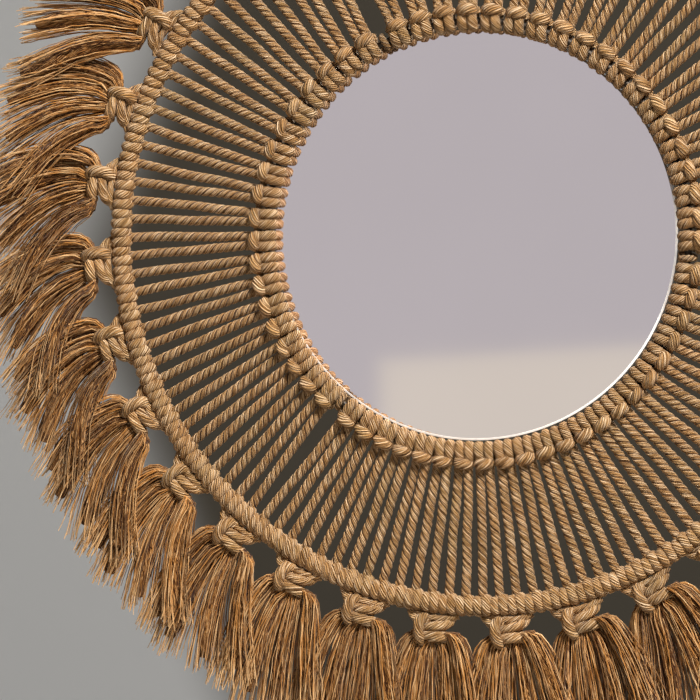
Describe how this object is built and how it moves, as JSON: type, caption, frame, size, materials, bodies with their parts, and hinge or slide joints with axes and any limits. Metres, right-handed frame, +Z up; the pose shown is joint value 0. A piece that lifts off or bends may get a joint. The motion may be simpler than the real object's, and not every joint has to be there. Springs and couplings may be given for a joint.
{
  "type": "wall mirror",
  "caption": "Round wall mirror in a macrame frame: cord heads on an inner hoop, spokes to a wrapped outer hoop and a fringe of knotted tassels.",
  "frame": {"origin": "centre of the backing board's flat back, where the mirror meets the wall", "axes": "+Z up, +Y into the wall, the glass faces -Y, +X to the right as seen from the front"},
  "size_m": [0.4562, 0.019, 0.4599],
  "materials": {
    "mirror_glass": "silvered float glass with a narrow polished bevel",
    "backing_board": "fibreboard, matt dark stain",
    "hanger_steel": "zinc plated",
    "hoop_wire": "drawn wire",
    "cotton_cord": "three-ply twisted cotton cord, matt"
  },
  "bodies": {
    "root": {"mirror_glass": "mirror_glass", "backing_board": "backing_board", "sawtooth_hanger": "hanger_steel", "inner_hoop": "hoop_wire", "outer_hoop": "hoop_wire", "tie_cord_1": "cotton_cord", "tie_cord_2": "cotton_cord", "tie_cord_3": "cotton_cord", "cord_group_01": "cotton_cord", "cord_group_02": "cotton_cord", "cord_group_03": "cotton_cord", "cord_group_04": "cotton_cord", "cord_group_05": "cotton_cord", "cord_group_06": "cotton_cord", "cord_group_07": "cotton_cord", "cord_group_08": "cotton_cord", "cord_group_09": "cotton_cord", "cord_group_10": "cotton_cord", "cord_group_11": "cotton_cord", "cord_group_12": "cotton_cord", "cord_group_13": "cotton_cord", "cord_group_14": "cotton_cord", "cord_group_15": "cotton_cord", "cord_group_16": "cotton_cord", "cord_group_17": "cotton_cord", "cord_group_18": "cotton_cord", "cord_group_19": "cotton_cord", "cord_group_20": "cotton_cord", "cord_group_21": "cotton_cord", "cord_group_22": "cotton_cord", "cord_group_23": "cotton_cord", "cord_group_24": "cotton_cord", "cord_group_25": "cotton_cord", "cord_group_26": "cotton_cord", "cord_group_27": "cotton_cord", "cord_group_28": "cotton_cord", "cord_group_29": "cotton_cord", "cord_group_30": "cotton_cord"}
  },
  "joints": []
}
